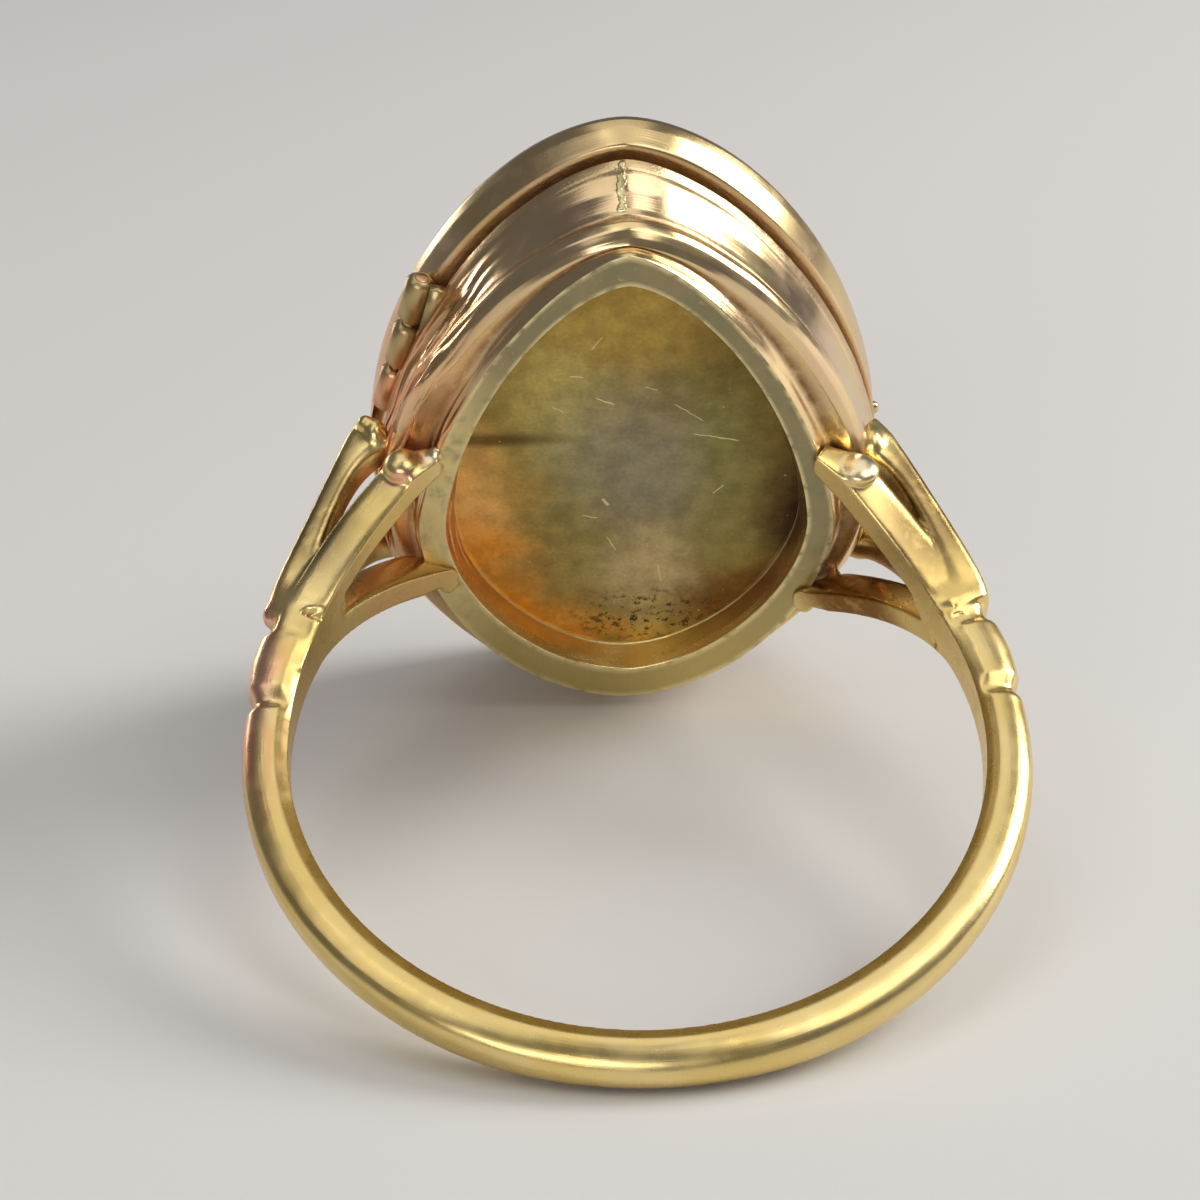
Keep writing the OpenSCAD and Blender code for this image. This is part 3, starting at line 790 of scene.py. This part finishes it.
# Half the band's greatest width and how far its middle lies along the finger, by angle
BELLY = {1: [(4, 0.635), (9, 0.67), (20, 0.73), (25, 0.76), (28, 0.64), (32, 0.30)],
         -1: [(4, 0.635), (9, 0.69), (20, 0.80), (25, 0.82), (28, 0.68), (32, 0.30)]}
MIDDLE = {1: [(6, 0.0), (20, 0.05), (32, 0.25)], -1: [(6, 0.0), (20, 0.17), (32, 0.50)]}
# How square the band's back is, by angle: round at the bottom, fuller towards the shoulders
FULLNESS = [(-82, 2.0), (-62, 2.7)]
# Carved steps: side, angle of the crease, degrees that its upper and lower flank take, depth
NOTCHES = [(1, 20.9, 3.6, 1.7, 0.22), (1, 6.6, 2.5, 1.6, 0.17),
           (-1, 20.4, 3.4, 1.8, 0.24), (-1, 6.8, 2.5, 1.7, 0.17)]
# Solder and worn knobs: place across, up and along, and radii
SOLDER = [
    ((5.94, 6.82, 2.38), (0.50, 0.52, 0.24)), ((-5.74, 7.02, 2.62), (0.48, 0.52, 0.40)),
    ((-5.06, 7.30, 2.44), (0.44, 0.36, 0.34)), ((-4.86, 7.24, 2.86), (0.20, 0.18, 0.20)),
    ((-9.12, 3.92, 0.46), (0.20, 0.30, 0.28)),
    ((6.42, 8.25, 1.80), (0.34, 0.50, 0.52)), ((-6.52, 8.75, 1.95), (0.34, 0.46, 0.56)),
    ((-6.78, 8.95, 2.28), (0.22, 0.24, 0.24)),
    ((6.42, 8.25, -1.80), (0.34, 0.50, 0.52)), ((-6.52, 8.75, -1.85), (0.34, 0.46, 0.52)),
    ((4.85, 7.05, -2.85), (0.34, 0.22, 0.44)), ((-4.78, 7.05, -1.75), (0.34, 0.22, 0.46))]
# Sections of a bar, points round one, steps of a lump and how near its poles they reach
BAR_SECTIONS, BAR_POINTS = 64, 28
LUMP_STEPS, LUMP_POLE = 24, 0.98
# The skin: its cells and their softening, its fillets, how far it looks and moves, and its easing
VOXEL = 0.066
SOFT, SOFT_ROUNDS = 0.5, 3
FILLET = 0.045
REACH, PUSH_MOST = 0.3, 0.15
SETTLE_ROUNDS = 2
EASE, EASE_ROUNDS = 0.4, 3
# Points this far inside the finger's round are pushed out of it
BORE_DEPTH = 0.4


def section_ring(profile, degrees, side):
    """Ring points of one section, given as outward and along-finger pairs, at an angle up a side."""
    out, along = profile.T
    angle = math.radians(degrees)
    return np.stack([side * out * math.cos(angle), out * math.sin(angle), along], 1)


def rounded_box(low, high, middle, width, fullness):
    """A section between two radii and about a middle along the finger, with soft corners."""
    turn = np.linspace(0, 2 * math.pi, BAR_POINTS, endpoint=False)
    out = (low + high) / 2 + (high - low) / 2 * signed_power(np.cos(turn), 2 / fullness)
    along = middle + width / 2 * signed_power(np.sin(turn), 2 / fullness)
    return np.stack([out, along], 1)


def swept(sections):
    """Points and faces of a solid through sections of equal length."""
    return np.concatenate(sections), loft_faces(len(sections), len(sections[0]))


def joined(solids):
    """Points and faces of several solids, one after another."""
    points, faces, start = [], [], 0
    for own_points, own_faces in solids:
        points.append(own_points)
        faces += [tuple(i + start for i in face) for face in own_faces]
        start += len(own_points)
    return np.concatenate(points), faces


def by_angle(table, angle):
    """The value that a table of angles and values gives at an angle."""
    angles, values = zip(*table)
    return float(np.interp(angle, angles, values))


def notch_depth(angle, side):
    """How deep the carved steps are at an angle: a crease with two straight flanks."""
    total = 0.0
    for which, crease, above, below, depth in NOTCHES:
        away = (angle - crease) / above if angle > crease else (crease - angle) / below
        if which == side:
            total += depth * max(0.0, 1 - away)
    return total


def band_section(angle, side):
    """The band's section: two bevels and a round back, narrower in a carved step."""
    cut = notch_depth(angle, side)
    thick = by_angle(BACK[side], angle) - FINGER_R - cut
    widest = by_angle(BELLY[side], angle)
    belly = widest - STEP_PINCH * cut
    inner = [(FINGER_R + out, widest - EDGE_INSET - inset) for out, inset in FINGER_SIDE]
    mirrored = [(out, -along) for out, along in inner]
    turns = np.linspace(0, math.pi, BACK_POINTS)
    power = 2 / by_angle(FULLNESS, angle)
    outs = BELLY_AT + (thick - BELLY_AT) * signed_power(np.sin(turns), power)
    alongs = belly * signed_power(np.cos(turns), power)
    back = list(zip(FINGER_R + outs, alongs))
    section = np.array(mirrored[:1] + inner + back + mirrored[:0:-1])
    return section + (0, by_angle(MIDDLE[side], angle))


def band_solid():
    sections = []
    for degrees in np.linspace(BAND_FROM, BAND_TO, BAND_SECTIONS):
        side = 1 if degrees > -90 else -1
        up = degrees if side > 0 else -180 - degrees
        sections.append(section_ring(band_section(up, side), up, side))
    return swept(sections)


def late(share, start):
    """How far a share has come from a start on its way to 1."""
    return max(0, share - start) / (1 - start)


def inner_bar_solid(side, root, top, bend, width):
    """A bar from the band to the case's back rim."""
    sections = []
    for share in np.linspace(0, 1, BAR_SECTIONS):
        degrees = BAR_START + (BAR_TOP - BAR_START) * share
        rise = max(0, (degrees - BAR_RISE_FROM) / (BAR_TOP - BAR_RISE_FROM))
        taper = TOP_TAPER * late(rise, TAPER_FROM)
        middle = root + (top - root) * rise ** bend - math.copysign(taper, top) / 2
        fade = BAR_ROOT + (1 - BAR_ROOT) * min(1, (degrees - BAR_START) / BAR_FADE)
        collar = COLLAR_STEP if side < 0 < top and degrees > COLLAR_FROM else 0
        wide = width * fade - taper + collar
        back = FINGER_R + INNER_BAR_T - TOP_CUT * late(rise, CUT_FROM)
        profile = rounded_box(FINGER_R - BAR_DEPTH, back, middle + collar / 2, wide, BAR_FULLNESS)
        sections.append(section_ring(profile, degrees, side))
    return swept(sections)


def outer_bar_solid(side, root, top, root_r, top_r):
    """A bar from the band to the case's side."""
    sections = []
    for share in np.linspace(OUTER_FIRST, 1, BAR_SECTIONS):
        degrees = OUTER_START + (OUTER_TOP - OUTER_START) * share
        back = root_r + (top_r - root_r) * share ** OUT_BEND - CARVED_STEP * (1 - share) ** CARVED_FADE
        deep = OUTER_T * (1 + ROOT_SWELL * (1 - share) ** ROOT_FADE + TOP_SWELL * share ** TOP_FADE)
        middle = root + (top - root) * share ** ALONG_BEND
        rounding = TOP_ROUNDING * late(share, ROUNDING_FROM)
        profile = rounded_box(back - deep, back - rounding, middle, OUTER_W - rounding, OUTER_FULLNESS)
        sections.append(section_ring(profile, degrees, side))
    return swept(sections)


def blob_solid(place, radii, count=LUMP_STEPS):
    """A lump of solder."""
    sections = []
    for level in np.linspace(-LUMP_POLE, LUMP_POLE, count):
        turn = np.linspace(0, 2 * math.pi, count, endpoint=False)
        ring_r = math.sqrt(1 - level * level)
        ring_points = np.stack([ring_r * np.cos(turn), ring_r * np.sin(turn), np.full(count, level)], 1)
        sections.append(ring_points * radii + place)
    return swept(sections)


def outward_faces(points, faces):
    """The faces, turned round if the solid is inside out."""
    volume = sum(points[f[0]].dot(np.cross(points[f[k]], points[f[k + 1]]))
                 for f in faces for k in range(1, len(f) - 1))
    return faces if volume > 0 else [face[::-1] for face in faces]


def skinned(solids):
    """Points and faces of one even skin over overlapping solids."""
    points, faces = joined(solids)
    mesh = bpy.data.meshes.new("fusing")
    mesh.from_pydata(points.tolist(), [], faces)
    obj = placed("fusing", mesh)
    skin = obj.modifiers.new("skin", "REMESH")
    skin.mode = "VOXEL"
    skin.voxel_size = VOXEL
    soft = obj.modifiers.new("soft", "SMOOTH")
    soft.factor = SOFT
    soft.iterations = SOFT_ROUNDS
    done = obj.evaluated_get(bpy.context.evaluated_depsgraph_get()).to_mesh()
    co = np.empty(len(done.vertices) * 3, np.float32)
    done.vertices.foreach_get("co", co)
    skin_points = co.reshape(-1, 3).astype(float)
    skin_faces = [tuple(p.vertices) for p in done.polygons]
    bpy.data.objects.remove(obj)
    return skin_points, skin_faces


def pulls(points, trees):
    """How closely the solids hold each point, and which way leads out of them."""
    weight = np.zeros(len(points))
    pull = np.zeros(points.shape)
    for tree, low, high in trees:
        for i in np.nonzero(np.all((points > low) & (points < high), 1))[0]:
            here = Vector(points[i])
            near, normal, _index, distance = tree.find_nearest(here, 2 * REACH)
            if near is None:
                continue
            away = here - near
            signed = -distance if away.dot(normal) < 0 else distance
            share = math.exp(-signed / FILLET)
            weight[i] += share
            pull[i] += np.array(away / signed if distance > 1e-4 else normal) * share
    return weight, pull


def settled(points, solids):
    """Points moved onto the solids' own surfaces, with a small fillet where solids meet."""
    trees = [(BVHTree.FromPolygons(own.tolist(), faces), own.min(0) - REACH, own.max(0) + REACH)
             for own, faces in solids]
    for _ in range(SETTLE_ROUNDS):
        weight, pull = pulls(points, trees)
        gap = np.where(weight > 0, -FILLET * np.log(np.maximum(weight, 1e-12)), 0)
        length = np.maximum(np.linalg.norm(pull, axis=1), 1e-9)
        points = points - pull / length[:, None] * np.clip(gap, -PUSH_MOST, PUSH_MOST)[:, None]
    return points


def eased(points, faces):
    """Points moved a little towards their neighbours, which softens the finest steps."""
    quads = np.array([face for face in faces if len(face) == 4])
    ends = np.concatenate([quads[:, [k, (k + 1) % 4]] for k in range(4)])
    own, other = ends.T
    counts = np.maximum(np.bincount(own, minlength=len(points)), 1)[:, None]
    for _ in range(EASE_ROUNDS):
        sums = np.stack([np.bincount(own, values, len(points)) for values in points[other].T], 1)
        points = points + EASE * (sums / counts - points)
    return points


def fused(solids):
    """One skin over overlapping solids, true to their surfaces."""
    solids = [(points, outward_faces(points, faces)) for points, faces in solids]
    points, faces = skinned(solids)
    return eased(settled(points, solids), faces), faces


def bored(points):
    """Points pushed out of the finger's own round."""
    radius = np.hypot(points[:, ACROSS], points[:, UP])
    near = (radius < FINGER_R) & (radius > FINGER_R - BORE_DEPTH)
    factor = np.where(near, FINGER_R / np.maximum(radius, TINY), 1)
    return points * np.stack([factor, factor, np.ones(len(points))], 1)


def shank_piece():
    solids = [band_solid()]
    solids += [inner_bar_solid(*row) for row in INNER_BARS]
    solids += [outer_bar_solid(*row) for row in OUTER_BARS]
    solids += [blob_solid(place, radii) for place, radii in SOLDER]
    points, faces = fused(solids)
    piece("shank", bored(points), faces, "ring", ["band_and_case"], [SHANK_GOLD], along_band)


# Hinge


KNUCKLE_R = 0.37
KNUCKLE_LEN = 1.45
KNUCKLE_GAP = 0.12
KNUCKLE_BEVEL = 0.16
# A knuckle's foot: from where to where it reaches outward and up, and its inset at the tube's ends
FOOT_OUT, FOOT_UP, FOOT_INSET = (0.22, 0.7), (0.14, 0.42), 0.03
PIN_R = 0.18
PIN_ROOM = 0.003
PIN_BEVEL = 0.01
PIN_CORE = 0.001
TUBE_SIDES = 40
# The thumb nub: how far it sinks into the lid's side, its height, its place along and its radii
NUB_SINK, NUB_UP, NUB_ALONG = 0.08, 0.65, 0.62
NUB_RADII = (0.19, 0.17, 0.2)
NUB_STEPS = 20


def at_hinge(points):
    """Points given beside the hinge, with its pin along the third direction, in ring space."""
    x, y, z = np.asarray(points, float).T
    c, s = HINGE_TURN
    return np.stack([x * c + z * s, y, z * c - x * s], 1) + HINGE_RING


def tube(radius, low, high, bevel, hole_r=0.0):
    """A round bar or tube along the hinge with bevelled ends."""
    core = hole_r or PIN_CORE
    rows = [(core, low), (radius - bevel, low), (radius, low + bevel),
            (radius, high - bevel), (radius - bevel, high), (core, high)]
    turn = np.linspace(0, 2 * math.pi, TUBE_SIDES, endpoint=False)
    rings = [np.stack([r * np.cos(turn), r * np.sin(turn), np.full(TUBE_SIDES, z)], 1) for r, z in rows]
    faces = loft_faces(len(rings), TUBE_SIDES)
    if hole_r > 0:
        last = (len(rings) - 1) * TUBE_SIDES
        ahead = [(i + 1) % TUBE_SIDES for i in range(TUBE_SIDES)]
        faces = faces[1:-1] + [(last + i, last + j, j, i) for i, j in enumerate(ahead)]
    return np.concatenate(rings), faces


def knuckle_piece(name, k, foot_way, body, nodes):
    """A tube at a place along the pin, with a foot down (-1) to the case or up (1) to the lid."""
    middle = k * (KNUCKLE_LEN + KNUCKLE_GAP)
    low, high = middle - KNUCKLE_LEN / 2, middle + KNUCKLE_LEN / 2
    near, far = FOOT_OUT
    bottom, top = sorted(foot_way * reach for reach in FOOT_UP)
    corners = ((near, bottom), (far, bottom), (far, top), (near, top))
    ends = [np.array([(x, y, z) for x, y in corners]) for z in (low + FOOT_INSET, high - FOOT_INSET)]
    points, faces = joined([tube(KNUCKLE_R, low, high, KNUCKLE_BEVEL, PIN_R + PIN_ROOM), swept(ends)])
    piece(name, at_hinge(points), faces, body, nodes, [HINGE_GOLD], around)


def hinge_pieces():
    knuckle_piece("case_knuckle_low", -1, -1, "ring", ["band_and_case"])
    knuckle_piece("case_knuckle_high", 1, -1, "ring", ["band_and_case"])
    knuckle_piece("lid_knuckle", 0, 1, "lid", ["lid"])
    half = 1.5 * KNUCKLE_LEN + KNUCKLE_GAP
    points, faces = tube(PIN_R, -half, half, PIN_BEVEL)
    piece("pin", at_hinge(points), faces, "ring", ["hinge_pin"], [PIN_GOLD], around)


def nub_piece():
    place = (LID_OUTSIDE[3][HALF_W] - NUB_SINK, LID_LOW + NUB_UP, NUB_ALONG)
    points, faces = blob_solid(place, NUB_RADII, NUB_STEPS)
    piece("lid_nub", points, faces, "lid", ["lid"], [LID_GOLD], around)


case_piece()
lid_piece()
shank_piece()
hinge_pieces()
nub_piece()


# Floor, light and camera

bpy.context.scene.view_settings.view_transform = "Standard"

FLOOR_HALF = 1.5
FLOOR_TONE, FLOOR_ROUGH = (0.74, 0.73, 0.71), 0.65
SKY_TONE, SKY_STRENGTH = (0.80, 0.80, 0.85), 0.16
LAMP_TONE = (1, 0.98, 0.95)
LAMP_AIM = (0, 0.003, 0.008)
# Soft lamps: name, place, width and height, and power
LAMPS = [
    ("key", (0.28, 0.06, 0.17), (0.13, 0.19), 0.80),
    ("back_left", (-0.26, 0.30, 0.05), (0.16, 0.06), 0.16),
    ("right_top", (0.17, -0.12, 0.33), (0.24, 0.22), 0.32),
    ("left_top", (-0.16, -0.08, 0.30), (0.16, 0.24), 0.11),
    ("overhead", (0.0, 0.10, 0.42), (0.32, 0.34), 0.28),
    ("front", (-0.10, -0.34, 0.14), (0.24, 0.10), 0.28)]


def stage_floor():
    mesh = bpy.data.meshes.new("floor")
    corners = ((-1, -1), (1, -1), (1, 1), (-1, 1))
    mesh.from_pydata([(x * FLOOR_HALF, y * FLOOR_HALF, 0) for x, y in corners], [], [(0, 1, 2, 3)])
    mesh.materials.append(Shader("pale_floor").finish(Base_Color=(*FLOOR_TONE, 1), Roughness=FLOOR_ROUGH))
    placed("floor", mesh)


def soft_lamp(name, place, size, power):
    light = bpy.data.lights.new(name, "AREA")
    light.shape = "RECTANGLE"
    light.size, light.size_y = size
    light.energy = power
    light.color = LAMP_TONE
    lamp = placed(name, light)
    lamp.location = place
    lamp.rotation_euler = (Vector(LAMP_AIM) - Vector(place)).to_track_quat("-Z", "Y").to_euler()


def studio():
    world = bpy.data.worlds.new("studio")
    bpy.context.scene.world = world
    world.use_nodes = True
    background = world.node_tree.nodes["Background"]
    background.inputs["Color"].default_value = (*SKY_TONE, 1)
    background.inputs["Strength"].default_value = SKY_STRENGTH
    for row in LAMPS:
        soft_lamp(*row)


# The camera, fitted to the finger hole's edges, the rim and the outlines, in ring millimetres
EYE = (-1.92, -37.33, 46.74)
AIM = (-0.90, 0.0, 5.19)
VIEW_UP = (0.0207, 0.7435, 0.6684)
LENS, SENSOR = 73.44, 36
NEAREST, FURTHEST = 0.001, 10


def photo_camera():
    eye = Vector(to_scene([EYE])[0])
    ahead = (Vector(to_scene([AIM])[0]) - eye).normalized()
    up_hint = Vector(to_world([VIEW_UP])[0]).normalized()
    right = ahead.cross(up_hint).normalized()
    up = right.cross(ahead)
    data = bpy.data.cameras.new("photo_camera")
    data.lens = LENS
    data.sensor_width = SENSOR
    data.clip_start = NEAREST
    data.clip_end = FURTHEST
    camera = placed("photo_camera", data)
    camera.matrix_world = Matrix.Translation(eye) @ Matrix((right, up, -ahead)).transposed().to_4x4()
    bpy.context.scene.camera = camera


stage_floor()
studio()
photo_camera()
